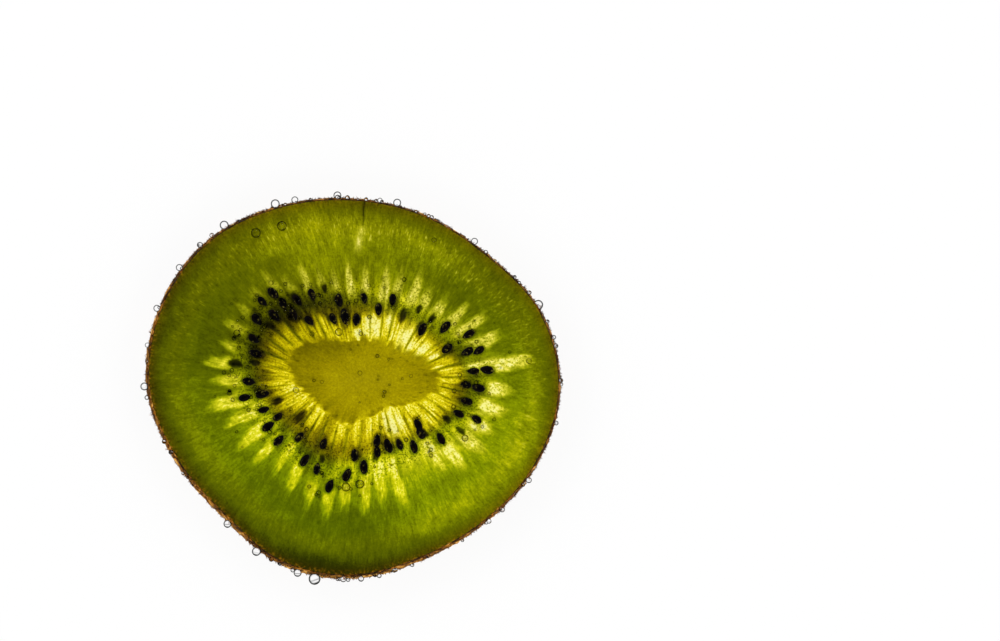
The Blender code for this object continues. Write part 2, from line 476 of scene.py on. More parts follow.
FLAMES = tuple(Flame(*row) for row in (
    (0.60, 0.27, 0.80, 0.86, 0.56), (1.78, 0.36, 0.64, 0.79, 0.48), (2.68, 0.37, 0.64, 0.79, 0.46),
    (3.55, 0.36, 0.61, 0.77, 0.44), (4.48, 0.39, 0.55, 0.73, 0.42), (5.38, 0.38, 0.55, 0.69, 0.42),
    (6.18, 0.36, 0.61, 0.73, 0.42), (7.20, 0.38, 0.56, 0.69, 0.42), (8.05, 0.30, 0.54, 0.73, 0.42),
    (9.42, 0.34, 0.54, 0.71, 0.41), (10.5, 0.32, 0.56, 0.71, 0.43), (11.6, 0.36, 0.51, 0.60, 0.42),
    (12.5, 0.40, 0.52, 0.58, 0.40), (13.5, 0.35, 0.59, 0.66, 0.44), (14.6, 0.41, 0.54, 0.54, 0.40),
    (15.4, 0.43, 0.61, 0.60, 0.42), (16.4, 0.43, 0.57, 0.53, 0.40), (17.5, 0.42, 0.54, 0.55, 0.38),
    (18.5, 0.38, 0.56, 0.62, 0.40), (19.6, 0.40, 0.54, 0.62, 0.42), (20.5, 0.41, 0.60, 0.72, 0.44),
    (21.4, 0.32, 0.57, 0.73, 0.47), (22.5, 0.34, 0.64, 0.76, 0.52), (23.4, 0.25, 0.58, 0.78, 0.48),
    (24.5, 0.29, 0.59, 0.83, 0.50), (25.5, 0.32, 0.59, 0.81, 0.47), (26.5, 0.27, 0.55, 0.75, 0.45),
    (27.6, 0.34, 0.60, 0.72, 0.46), (28.7, 0.43, 0.60, 0.70, 0.42), (29.7, 0.42, 0.62, 0.70, 0.44),
    (30.5, 0.26, 0.58, 0.72, 0.52), (31.6, 0.30, 0.62, 0.75, 0.51), (32.6, 0.24, 0.58, 0.80, 0.58),
    (33.5, 0.30, 0.65, 0.81, 0.54, 0.42), (34.5, 0.31, 0.49, 0.66, 0.52), (35.35, 0.26, 0.47, 0.77, 0.54),
    (36.45, 0.26, 0.54, 0.87, 0.54), (37.42, 0.38, 0.62, 0.86, 0.58), (38.55, 0.40, 0.61, 0.80, 0.56),
    (39.5, 0.40, 0.58, 0.94, 0.52), (40.5, 0.39, 0.60, 0.90, 0.56), (41.42, 0.41, 0.61, 0.88, 0.54),
))


class Colouring(NamedTuple):
    """What a tissue's colour at each point is mixed from, all from 0 to 1."""

    level: Array
    leafy: Array
    cream: Array
    mottle: Array


@dataclass(frozen=True)
class Complexion:
    """Paints how bright and how leafy the fruit is at spots of a cut face.

    Its methods give a number for each spot, from 0 to 1 where they don't say more. The shades
    round a seed are pairs of strength and reach. The crack has a turn, a slant and a first row.
    """

    plan: SeedPlan
    at: Spots
    draw: int = 5
    shades: tuple[tuple[float, float], ...] = ((0.34, 0.07 * MM), (0.08, 0.28 * MM))
    deep_strength: float = 0.81
    crack: tuple[float, float, float] = (9.45, 1.75, 0.88)

    def grain(self, per_pocket: float, per_row: float, draw: int) -> Array:
        """Read a grain at the spots, from -0.5 to 0.5."""
        return grain(self.at, per_pocket, per_row, draw)

    def outer(self) -> Array:
        """Paint the outer flesh, mottled and darker towards the skin."""
        rim = 1 - RIM_SHADE.around(self.at.turn) * fade(self.at.row, 0.80, 0.98)
        return Tissue.OUTER.level(self.at) * (0.90 + 0.10 * fade(self.at.row, 0.55, 0.80)) * rim

    def belt(self) -> Array:
        """Paint the dark green belt that holds the seeds."""
        return Tissue.BELT.level(self.at) * (1 + 0.34 * fade(self.at.row, 0.24, 0.38))

    def lines(self, lines: Lines, draw: np.random.Generator) -> tuple[Array, Array]:
        """Paint soft dark lines that run outwards, one a pocket.

        Args:
            lines: Their common measures.
            draw: The draw that makes each its own.

        Returns:
            How far each spot lies in a line, and which line is its nearest.
        """
        strength, width = (draw.uniform(*span, POCKETS) for span in (lines.strength, lines.width))
        shift, slant = (draw.uniform(-span, span, POCKETS) for span in (lines.shift, lines.slant))
        place = self.at.turn - lines.start + lines.wander * self.grain(1, 7, lines.draw)
        nearest = np.round(place)
        line = nearest.astype(int) % POCKETS
        off = place - nearest - shift[line] - slant[line] * (self.at.row - lines.pivot)
        return strength[line] * hump(off, 0.0, width[line]), line

    def walls(self) -> Array:
        """Paint the walls that part the pockets, from the core's edge to between the flames."""
        wall, _ = self.lines(WALLS, np.random.default_rng(self.draw + 2))
        return wall * fade(self.at.row, -0.02, 0.06) * (1 - fade(self.at.row, 0.38, 0.54))

    def ring(self) -> Array:
        """Paint the bright ring round the core: uneven golden columns between dark creases.

        Returns:
            Its brightness.
        """
        level = Tissue.RING.level(self.at)
        draw = np.random.default_rng(self.draw + 1)
        for creases in CREASES:
            crease, line = self.lines(creases, draw)
            begin = draw.uniform(0.0, 0.08, POCKETS)[line]
            level *= 1 - crease * (0.50 + 0.50 * fade(self.at.row, begin, begin + 0.12))
        return blend(np.minimum(level, RING_TOP), PALE_LEVEL, self.pale_patches())

    def pale_patches(self) -> Array:
        """Paint how near-white the ring's pale patches make each spot."""
        turn, row, _ = self.at
        return np.max([hump(turn, place, wide) * hump(row, middle, high)
                       for place, middle, wide, high in PALE_PATCHES], axis=0)

    def flames(self) -> tuple[Array, Array]:
        """Paint the pale flames that rise from the pockets into the outer flesh.

        Returns:
            How far each spot lies in a flame, and the flames' brightness.
        """
        turn, row, _ = self.at
        fringe, cells = self.grain(7, 12, 7), self.grain(10, 44, 6)
        skew = FLAME_SKEW.around(turn)
        inside, level = np.zeros_like(row), np.full_like(row, 0.7)
        for flame in FLAMES:
            rise = np.clip((row - flame.foot) / (flame.tip - flame.foot), 0, 1.2)
            half = flame.half * (1 - 0.62 * rise)
            aside = (turn - flame.middle + POCKETS / 2) % POCKETS - POCKETS / 2
            off = aside - flame.slant * rise + 0.16 * fringe
            off = np.where(off < 0, off * (skew - 1), off * (1 + skew))
            here = 1 - fade(off, half * 0.40, half * 1.30)
            here *= fade(row, flame.foot - 0.07, flame.foot + 0.05)
            here *= 1 - fade(row + 0.08 * fringe, flame.tip - 0.10, flame.tip + 0.05)
            level = np.where(here > inside, flame.glow * (1.10 - 0.14 * rise), level)
            inside = np.maximum(inside, here)
        return inside, level * (1 + 0.16 * fringe + 0.24 * cells)

    def core(self) -> Array:
        """Paint the core: softly blotched, streaked at its edge, with a ring of dots.

        Returns:
            Its brightness.
        """
        turn, row, _ = self.at
        level = blend(Tissue.CORE.level(self.at), CORE_HEART, fade(-row, 0.10, 0.60))
        level *= 1 + 0.12 * self.grain(0.4, 5, 21) * fade(-row, -0.1, 0.3) * fade(1 + row, 0.1, 0.5)
        streaks = 0.07 + self.grain(1.6, 3, 22) + 0.5 * self.grain(4, 3, 26)
        level *= 1 + CORE_STREAKS.around(turn) * streaks * np.exp(np.clip(row, -1, 0) / 0.16)
        shown = 0.5 + grain(Spots(np.floor(turn), np.zeros_like(row)), 1, 1, 23)
        dots = hump(turn % 1, 0.5, 0.15) * hump(row + 0.04 * shown, -0.09, 0.022) * shown
        return level * (1 - 0.34 * dots)

    def seed_shade(self) -> Array:
        """Paint the shade that seeds throw into the flesh round them, and the deep seeds.

        Returns:
            How much the painted shade and the deep seeds darken each spot.
        """
        shade = np.zeros_like(self.at.row)
        for seed in self.plan.seeds:
            half = self.plan.breadth / 2 * seed.size
            gap = np.clip((self.plan.reach(seed, self.at.xy) - 1) * half, 0, None)
            shade = np.maximum(shade, sum(size * np.exp(-gap / reach) for size, reach in self.shades))
        ragged, patchy = self.grain(9, 40, 16), self.grain(7, 30, 17)
        for seed in DEEP_SEEDS:
            reach = self.plan.reach(seed, self.at.xy) + 0.40 * ragged
            inside = 1 - fade(reach, 0.45, 1.25)
            shade = np.maximum(shade, inside * (self.deep_strength - 0.30 * patchy))
        return shade

    def cracked(self) -> tuple[Array, Array]:
        """Paint the fine crack that runs in from the skin as a dark line of painted shade, and the pale
        streak that it ends in.

        Returns:
            How far each spot lies in the crack's painted shade and in the streak.
        """
        turn, row, _ = self.at
        place, slant, start = self.crack
        path = place + slant * np.clip(start - row, 0, None) + 0.10 * self.grain(1, 12, 18)
        crack_shade = hump(turn, path, 0.041 + 0.03 * self.grain(1, 14, 19)) * fade(row, 0.80, 0.88)
        glow = 0.9 + 0.8 * self.grain(6, 20, 20)
        return crack_shade, hump(turn, path, 0.20) * fade(row, 0.58, 0.68) * (1 - fade(row, 0.76, 0.86)) * glow

    def paint(self) -> Colouring:
        """Paint the whole cut face.

        Returns:
            The colouring of each spot.
        """
        turn, row, _ = self.at
        ragged = self.grain(3, 8, 11)
        in_belt = 1 - fade(row + 0.05 * ragged, 0.35, 0.46)
        end = smooth_loop(RING_ENDS, math.tau * (turn - RING_ENDS_START) / POCKETS) + 0.12 * ragged
        in_ring = 1 - fade(row, end - 0.05, end + 0.08)
        in_core = 1 - fade(row + 0.08 * ragged - RING_START.around(turn), -0.035, 0.035)
        flame, flame_level = self.flames()
        wall, pale = self.walls(), self.pale_patches()
        crack_shade, streak = self.cracked()

        level = blend(self.outer(), self.belt(), in_belt)
        near = hump(row, 0.44, 0.11) * FLAME_SPREAD.around(turn)
        level = blend(level, flame_level, np.maximum(flame, near))
        level = blend(level, self.ring(), in_ring) * (1 - (0.32 + 0.24 * in_ring) * wall)
        level = blend(level, self.core(), in_core) * (1 - self.seed_shade())
        # The crack is painted shade: a dark line with no relief of its own
        level = (level + 0.27 * streak) * (1 - 0.62 * crack_shade)

        outside = LEAFINESS.around(turn)
        leafy = np.maximum(0.85 * outside * fade(row, 0.18, 0.30), 0.35 * wall)
        leafy = blend(leafy, outside, fade(row, 0.36, 0.54) * (1 - 0.8 * flame))
        leafy = leafy * (1 - 0.18 * fade(row, 0.68, 0.82) - 0.60 * fade(row, 0.90, 1.0))
        cream = np.maximum(flame * FLAME_CREAM.around(turn), 0.68 * pale)
        cream = np.clip(np.maximum(cream, streak), 0, 1)
        mottle = np.maximum(0.08 + 0.14 * in_ring, FLAME_SPECKS.around(turn) * flame)
        mottle = np.maximum(mottle, 0.40 * in_belt * (1 - in_ring)) * (1 - 0.9 * in_core)
        return Colouring(np.clip(level, 0.004, 1), np.clip(leafy, 0, 1), cream, mottle)


def to_linear(colour: Sequence[float]) -> Colour:
    """Turn a colour as seen on a screen into a surface colour under the studio's light.

    Args:
        colour: Red, green and blue from 0 to 255.

    Returns:
        The surface colour with an alpha of 1.
    """
    seen = np.asarray(colour, float) / 255
    linear = np.where(seen <= 0.04045, seen / 12.92, ((seen + 0.055) / 1.055) ** 2.4)
    return (*(float(part) for part in np.clip(linear / STUDIO_LIGHT, 0, 1)), 1.0)


class Palette(Enum):
    """Screen colours from dark to bright. A fourth number is a colour's place on its ramp.

    The fruit's colours have none, as they stand at their own brightness.
    """

    GOLD = ((3, 3, 2), (60, 52, 1), (117, 106, 0), (163, 148, 1), (216, 200, 8), (234, 217, 18),
            (247, 230, 36), (253, 241, 70), (255, 250, 130))
    LEAF = ((3, 3, 2), (44, 56, 1), (98, 117, 1), (136, 160, 3), (180, 191, 6), (206, 212, 12),
            (241, 237, 34), (255, 252, 130))
    CREAM = ((3, 3, 2), (60, 58, 4), (113, 115, 10), (169, 168, 38), (194, 190, 62), (226, 216, 92),
             (249, 240, 126), (255, 251, 178))
    SKIN = ((30, 19, 4, 0.0), (62, 36, 5, 0.22), (118, 70, 10, 0.45), (186, 116, 26, 0.70),
            (232, 178, 92, 0.90))
    RIND = ((44, 31, 3, 0.36), (100, 68, 5, 0.50), (168, 118, 20, 0.62))
    SIDE = ((26, 17, 4, 0.0), (86, 56, 14, 0.26), (145, 98, 31, 0.56), (213, 150, 62, 0.86),
            (240, 195, 112, 1.0))
    FUZZ = ((24, 15, 3, 0.0), (84, 48, 8, 0.45), (176, 108, 34, 0.80), (230, 176, 100, 1.0))

    def stops(self) -> list[tuple[float, Colour]]:
        """List the ramp's stops: each place and surface colour."""
        return [(place[0] if place else (0.3 * red + 0.6 * green + 0.1 * blue) / 255,
                 to_linear((red, green, blue))) for red, green, blue, *place in self.value]


class Bench:
    """The node tree of one finish, with short ways to add and join its nodes."""

    def __init__(self, owner: Material | bpy.types.World, shader: str) -> None:
        """Take hold of a material's or a world's tree.

        Args:
            owner: The material or the world.
            shader: The name of its shader.
        """
        owner.use_nodes = True
        self.tree = owner.node_tree
        self.shader = self.tree.nodes[shader]

    def set(self, **sockets: Socket | float | tuple) -> None:
        """Set or feed the shader's sockets, an underscore in a name standing for a space."""
        self.feed(self.shader, {name.replace("_", " "): value for name, value in sockets.items()})

    def feed(self, node: bpy.types.Node, inputs: dict) -> None:
        """Join sockets to a node's inputs, or set the inputs to plain values.

        Args:
            node: The node.
            inputs: Sockets and values by the inputs' names or numbers.
        """
        for name, value in inputs.items():
            if isinstance(value, Socket):
                self.tree.links.new(value, node.inputs[name])
            else:
                node.inputs[name].default_value = value

    def node(self, kind: str, output: str | int, inputs: dict, **settings: str) -> Socket:
        """Add a node.

        Args:
            kind: The node's kind.
            output: Which of its outputs is wanted.
            inputs: What its inputs are joined to or set to.
            settings: Its own settings.

        Returns:
            The wanted output.
        """
        node = self.tree.nodes.new("ShaderNode" + kind)
        for name, value in settings.items():
            setattr(node, name, value)
        self.feed(node, inputs)
        return node.outputs[output]

    def attribute(self, name: str, output: str = "Fac") -> Socket:
        """Read one of the piece's own attributes."""
        return self.node("Attribute", output, {}, attribute_name=name)

    def position(self) -> Socket:
        """Read the point in the object."""
        return self.node("TexCoord", "Object", {})

    def noise(self, vector: Socket, scale: float | tuple[float, float, float], detail: float = 2.0,
              roughness: float = 0.5) -> Socket:
        """Add a noise.

        Args:
            vector: Where to read it.
            scale: Its grains a metre, or along each axis.
            detail: How many finer layers it has.
            roughness: How strong they are.

        Returns:
            Its value.
        """
        if isinstance(scale, tuple):
            vector, scale = self.node("Mapping", "Vector", {"Vector": vector, "Scale": scale}), 1.0
        inputs = {"Vector": vector, "Scale": scale, "Detail": detail, "Roughness": roughness}
        return self.node("TexNoise", "Fac", inputs)

    def maths(self, operation: str, first: Socket | float, second: Socket | float) -> Socket:
        """Add a sum on two values."""
        return self.node("Math", 0, {0: first, 1: second}, operation=operation)

    add = partialmethod(maths, "ADD")
    minus = partialmethod(maths, "SUBTRACT")
    times = partialmethod(maths, "MULTIPLY")
    higher = partialmethod(maths, "MAXIMUM")

    def spread(self, value: Socket, source: tuple[float, float], target: tuple[float, float]) -> Socket:
        """Map a value from one range to another."""
        ends = dict(zip(("From Min", "From Max", "To Min", "To Max"), (*source, *target)))
        return self.node("MapRange", "Result", {"Value": value, **ends})

    def mix(self, share: Socket, first: Socket | Colour, second: Socket | Colour) -> Socket:
        """Mix two colours."""
        return self.node("Mix", 2, {0: share, 6: first, 7: second}, data_type="RGBA")

    def ramp(self, value: Socket, stops: Sequence[tuple[float, Colour]]) -> Socket:
        """Turn a value into a colour by a row of stops.

        Args:
            value: The value.
            stops: Each place and colour.

        Returns:
            The colour.
        """
        colour = self.node("ValToRGB", "Color", {"Fac": value})
        elements = colour.node.color_ramp.elements
        for _ in stops[len(elements):]:
            elements.new(0.5)
        for element, (place, shown) in zip(elements, stops):
            element.position, element.color = place, shown
        return colour

    def bump(self, height: Socket, depth: float) -> None:
        """Give the shader a fine relief of a depth in metres."""
        relief = self.node("Bump", "Normal", {"Strength": 1.0, "Distance": depth, "Height": height})
        self.set(Normal=relief)


class Finish:
    """One finish of the slice or its studio, which each kind lays out on a bench."""

    name: str

    def build(self) -> Material:
        """Make the material."""
        material = bpy.data.materials.new(self.name)
        self.lay(Bench(material, "Principled BSDF"))
        return material

    def lay(self, bench: Bench) -> None:
        """Lay out the nodes."""
        raise NotImplementedError


@dataclass(frozen=True)
class FruitFinish(Finish):
    """Wet, translucent flesh and core, coloured by their painted brightness and leafiness."""

    name: str = "fruit_flesh"
    roughness: tuple[float, float] = (0.24, 0.40)
    glow_depth: float = 0.25 * MM
    relief: float = 0.03 * MM
    dash_glow: float = 0.28

    def lay(self, bench: Bench) -> None:
        """Lay out the nodes."""
        place, core = bench.position(), bench.attribute("core")
        along = bench.attribute("grain", "Vector")
        fibres = bench.noise(along, (78, 78, 14), 2.0, 0.6)
        clouds = bench.noise(along, (36, 36, 16), 3.0, 0.55)
        speckle = bench.noise(place, 3300, 2.0, 0.6)

        # Streaks and speckles in the brightness, calmer on the core
        streaky = bench.times(bench.spread(fibres, (0.25, 0.75), (-0.12, 0.12)), bench.minus(1.0, core))
        cloudy = bench.spread(clouds, (0.25, 0.75), (-0.10, 0.10))
        speckled = bench.add(bench.spread(speckle, (0.2, 0.8), (-0.15, 0.15)), cloudy)
        speckled = bench.times(speckled, bench.spread(core, (0.0, 1.0), (1.0, 0.9)))
        level = bench.times(bench.attribute("level"), bench.add(1.0, bench.add(streaky, speckled)))

        # Dark specks, and pale dashes in clusters
        specks = bench.spread(bench.noise(place, 4300, 1.0), (0.36, 0.48), (1.0, 0.0))
        level = bench.times(level, bench.minus(1.03, bench.times(specks, bench.attribute("mottle"))))
        dashes = bench.spread(bench.noise(along, (125, 125, 30), 0.0), (0.54, 0.78), (0.0, 1.0))
        clusters = bench.spread(clouds, (0.40, 0.62), (0.1, 1.0))
        pale = bench.times(dashes, bench.times(bench.attribute("fibre_show"), clusters))
        level = bench.add(level, bench.times(pale, self.dash_glow))

        gold, leaf, cream = (
            bench.ramp(level, kind.stops()) for kind in (Palette.GOLD, Palette.LEAF, Palette.CREAM)
        )
        fresh = bench.mix(bench.attribute("leafy"), gold, leaf)
        flesh = bench.mix(bench.higher(bench.attribute("cream"), pale), fresh, cream)
        flecks = bench.spread(bench.noise(place, 2300, 2.0, 0.6), (0.44, 0.56), (0.0, 1.0))
        torn = bench.times(flecks, bench.attribute("rind"))
        bench.set(Base_Color=bench.mix(torn, flesh, bench.ramp(speckle, Palette.RIND.stops())),
                  Roughness=bench.spread(fibres, (0.3, 0.7), self.roughness),
                  IOR=1.36, Specular_IOR_Level=0.04,
                  Subsurface_Weight=0.2, Subsurface_Radius=(1.0, 1.0, 0.35), Subsurface_Scale=self.glow_depth)
        bench.bump(bench.add(fibres, speckle), self.relief)


@dataclass(frozen=True)
class SeedFinish(Finish):
    """Wet black seed coats with olive flecks and a fine pitted relief."""

    name: str = "seed_coat"
    dark: Colour = (0.0010, 0.0008, 0.0012, 1)
    warm: Colour = (0.0040, 0.0018, 0.0008, 1)
    olive: Colour = to_linear((104, 96, 34))
    roughness: tuple[float, float] = (0.34, 0.22)
    pit_depth: float = 0.010 * MM

    def lay(self, bench: Bench) -> None:
        """Lay out the nodes."""
        place = bench.position()
        coat = bench.mix(bench.spread(bench.noise(place, 900), (0.45, 0.75), (0, 1)), self.dark, self.warm)
        flecks = bench.spread(bench.noise(place, 2700, 2.0, 0.6), (0.60, 0.72), (0, 0.8))
        pits = bench.node("TexVoronoi", "Distance", {"Vector": place, "Scale": 9000})
        bench.set(Base_Color=bench.mix(flecks, coat, self.olive),
                  Roughness=bench.spread(pits, (0.0, 0.9), self.roughness),
                  IOR=1.36, Specular_IOR_Level=0.035)
        bench.bump(pits, self.pit_depth)


@dataclass(frozen=True)
class SkinFinish(Finish):
    """Thin matt skin: rusty flecks on its torn lip, browns in soft streaks down the side, painted light at
    its foot.
    """

    name: str = "brown_skin"
    relief: float = 0.06 * MM

    def lay(self, bench: Bench) -> None:
        """Lay out the nodes."""
        place = bench.position()
        blotch, fine = bench.noise(place, 420, 3.0, 0.6), bench.noise(place, 2300, 2.0, 0.65)
        streaked = bench.spread(bench.noise(place, (620, 620, 310), 2.0, 0.6), (0.36, 0.64), (-0.42, 0.34))
        patchy = bench.add(bench.spread(blotch, (0.3, 0.7), (0.30, 0.80)),
                           bench.spread(fine, (0.34, 0.66), (-0.50, 0.55)))
        rusty = bench.add(bench.times(bench.attribute("rust"), patchy), bench.times(streaked, 0.5))
        calm = bench.add(bench.spread(blotch, (0.3, 0.7), (0.30, 0.62)),
                         bench.spread(fine, (0.3, 0.7), (-0.14, 0.18)))
        # Painted light: the "low" attribute makes the side paler near its foot, as if lit by the glowing
        # floor
        calm = bench.add(bench.add(calm, bench.attribute("low")), streaked)
        side, lip = bench.ramp(calm, Palette.SIDE.stops()), bench.ramp(rusty, Palette.SKIN.stops())
        bench.set(Base_Color=bench.mix(bench.attribute("lip"), side, lip),
                  Roughness=bench.spread(fine, (0.3, 0.7), (0.62, 0.86)), IOR=1.4, Specular_IOR_Level=0.02)
        bench.bump(bench.add(fine, blotch), self.relief)


@dataclass(frozen=True)
class FuzzFinish(Finish):
    """Short brown hairs, darker at the root."""

    name: str = "skin_fuzz"

    def lay(self, bench: Bench) -> None:
        """Lay out the nodes."""
        bench.set(Base_Color=bench.ramp(bench.attribute("shade"), Palette.FUZZ.stops()),
                  Roughness=0.6, IOR=1.45, Specular_IOR_Level=0.04)


@dataclass(frozen=True)
class WaterFinish(Finish):
    """Clear, bubble-like beads, with the dark rim that glassy balls have painted into their colour as
    shade.

    The painted rim shade goes from clear to dark between two shares of facing away, and a painted
    dark crescent adds to it. Faint beads, on the face, have less of both.
    """

    name: str
    clear: float
    dark: float
    faintness: float
    shade_black: Colour = (0.004, 0.005, 0.004, 1.0)
    white: Colour = (1.0, 1.0, 1.0, 1.0)

    def lay(self, bench: Bench) -> None:
        """Lay out the nodes."""
        # Painted shade: the colour goes dark where the surface faces away, and darker on the crescent
        facing = bench.node("LayerWeight", "Facing", {"Blend": 0.5})
        rim = bench.ramp(facing, ((self.clear, self.white), (self.dark, self.shade_black)))
        shade = bench.mix(bench.attribute("crescent"), rim, self.shade_black)
        bench.set(Base_Color=bench.mix(bench.attribute("faint"), shade, self.white),
                  Roughness=0.0, IOR=1.07, Transmission_Weight=1.0)


@dataclass(frozen=True)
class FloorFinish(Finish):
    """Plain matt white that glows softly, as a light table does."""

    name: str = "studio_floor"
    own_light: float = 0.90
    white: Colour = (0.09, 0.09, 0.09, 1.0)

    def lay(self, bench: Bench) -> None:
        """Lay out the nodes."""
        bench.set(Base_Color=self.white, Roughness=0.9, Specular_IOR_Level=0.0,
                  Emission_Color=(1.0, 1.0, 1.0, 1.0), Emission_Strength=self.own_light)


class Slot(Enum):
    """Slots for the pieces' finishes."""

    FLESH = "flesh"
    SKIN = "skin"
    SEED = "seed"
    WATER = "water"


def clear_selection() -> None:
    """Leave edit mode and deselect every object, so that an operator acts on new ones alone."""
    if bpy.context.mode != "OBJECT":
        bpy.ops.object.mode_set(mode="OBJECT")
    bpy.ops.object.select_all(action="DESELECT")


def take(piece: Piece) -> None:
    """Select a piece alone, for the operators that follow.

    Args:
        piece: The piece.
    """
    clear_selection()
    bpy.context.view_layer.objects.active = piece
    piece.select_set(True)


def take_active(name: str) -> Piece:
    """Name the new primitive that is the active object and give it back."""
    bpy.context.object.name = bpy.context.object.data.name = name
    return bpy.context.object


@contextmanager
def editing(kind: str) -> Iterator[None]:
    """Work on the active piece in edit mode, and leave it again.

    Args:
        kind: What is selected, vertices or edges.
    """
    bpy.ops.object.mode_set(mode="EDIT")
    bpy.ops.mesh.select_mode(type=kind)
    yield
    bpy.ops.object.mode_set(mode="OBJECT")


def select(piece: Piece, wanted: Callable[..., bool], edges: bool = True) -> None:
    """Select edges or vertices of a piece in edit mode by their place.

    Args:
        piece: The piece.
        wanted: Whether an edge with these two ends, or the vertex at this point, is wanted.
        edges: Whether edges are selected.
    """
    mesh = bmesh.from_edit_mesh(piece.data)
    for part in mesh.edges if edges else mesh.verts:
        part.select_set(wanted(*(end.co for end in (part.verts if edges else [part]))))
    if not edges:
        mesh.select_flush_mode()
    bmesh.update_edit_mesh(piece.data)


def read_points(piece: Piece) -> Array:
    """Read a mesh's vertices, a point a line.

    Args:
        piece: The piece.

    Returns:
        The points.
    """
    points = np.zeros(len(piece.data.vertices) * 3, np.float32)
    piece.data.vertices.foreach_get("co", points)
    return points.reshape(-1, 3).astype(float)


def write_points(piece: Piece, points: Array) -> None:
    """Put a mesh's vertices in their places."""
    piece.data.vertices.foreach_set("co", points.astype(np.float32).ravel())
    piece.data.update()


def write_values(piece: Piece, **named: Array) -> None:
    """Keep numbers, or rows of three, for each vertex as attributes of the mesh.

    Args:
        piece: The piece.
        named: The values by the attributes' names.
    """
    for name, values in named.items():
        kind, field = ("FLOAT", "value") if values.ndim == 1 else ("FLOAT_VECTOR", "vector")
        kept = piece.data.attributes.new(name, kind, "POINT")
        kept.data.foreach_set(field, values.astype(np.float32).ravel())


def write_bake_map(piece: Piece, corners: Array) -> None:
    """Lay out the mesh's corners on the map that its finish is kept in."""
    layer = piece.data.uv_layers.new(name="OFBake")
    layer.data.foreach_set("uv", corners.astype(np.float32).ravel())


def corner_vertices(piece: Piece) -> Array:
    """List the vertex of each corner of a mesh.

    Args:
        piece: The piece.

    Returns:
        The vertices' numbers.
    """
    found = np.zeros(len(piece.data.loops), np.int32)
    piece.data.loops.foreach_get("vertex_index", found)
    return found


class Band(NamedTuple):
    """A band of a sheet: how far out it ends and how many rows it has."""

    end: float
    rows: int


def grow_sheet(name: str, columns: int, start: float, bands: Sequence[Band], filled: bool) -> Piece:
    """Grow a flat round sheet of quads from a circle, one extruded band after another.

    Args:
        name: The piece's name.
        columns: Vertices round the circle.
        start: The circle's radius.
        bands: The bands, from the inside out.
        filled: Whether the circle is closed by a fan of triangles.

    Returns:
        The sheet, whose radii and angles stand for the rows and turns of what it becomes.
    """
    def take_edges(inner: float, outer: float) -> None:
        """Select the edges that run from one radius to another."""
        select(sheet, lambda *ends: all(
            abs(reach - wanted) < NEAR
            for reach, wanted in zip(sorted(end.xy.length for end in ends), (inner, outer))
        ))

    clear_selection()
    bpy.ops.mesh.primitive_circle_add(
        vertices=columns, radius=start, fill_type="TRIFAN" if filled else "NOTHING", location=(0, 0, 0)
    )
    sheet = take_active(name)
    radii = (start, *(band.end for band in bands))
    with editing("EDGE"):
        for inner, outer in zip(radii, radii[1:]):
            take_edges(inner, inner)
            bpy.ops.mesh.extrude_edges_move()
            bpy.ops.transform.resize(value=(outer / inner, outer / inner, 1), center_override=(0, 0, 0))
        for inner, band in zip(radii, bands):
            if band.rows > 1:
                take_edges(inner, band.end)
                bpy.ops.mesh.subdivide(number_cuts=band.rows - 1, smoothness=0)
    return sheet


def read_plan(piece: Piece) -> tuple[Array, Array]:
    """Read a flat sheet's plan.

    Args:
        piece: The sheet.

    Returns:
        The turn and the radius of each vertex.
    """
    points = read_points(piece)
    turn = (np.arctan2(points[:, 1], points[:, 0]) / math.tau % 1) * POCKETS
    return turn, np.hypot(points[:, 0], points[:, 1])


def close_seams(piece: Piece, reach: float = 1e-7) -> None:
    """Merge vertices that meet, and turn every face outwards.

    Args:
        piece: The piece.
        reach: How near two vertices lie that meet.
    """
    take(piece)
    with editing("VERT"):
        bpy.ops.mesh.select_all(action="SELECT")
        bpy.ops.mesh.remove_doubles(threshold=reach)
        bpy.ops.mesh.normals_make_consistent(inside=False)


def dress(piece: Piece, finish: Finish, slot: Slot, sharp: float = 180.0) -> None:
    """Finish a piece and let it ride on the body.

    Args:
        piece: The piece.
        finish: Its finish.
        slot: Its slot, which is not used.
        sharp: Edges sharper than this angle in degrees stay sharp.
    """
    take(piece)
    bpy.ops.object.shade_smooth_by_angle(angle=math.radians(sharp))
    piece.data.materials.clear()
    piece.data.materials.append(finish.build())
    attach(piece, BODY)
    log.info("%s: %d faces", piece.name, len(piece.data.polygons))


def copy_along(piece: Piece, count: int) -> int:
    """Copy a modelled thing many times into one mesh.

    Args:
        piece: The thing, whose mesh the copies are added to.
        count: How many there are in the end.

    Returns:
        How many vertices each copy has.
    """
    each = len(piece.data.vertices)
    take(piece)
    row = piece.modifiers.new("row", "ARRAY")
    row.count = count
    row.use_merge_vertices = False
    bpy.ops.object.modifier_apply(modifier=row.name)
    return each


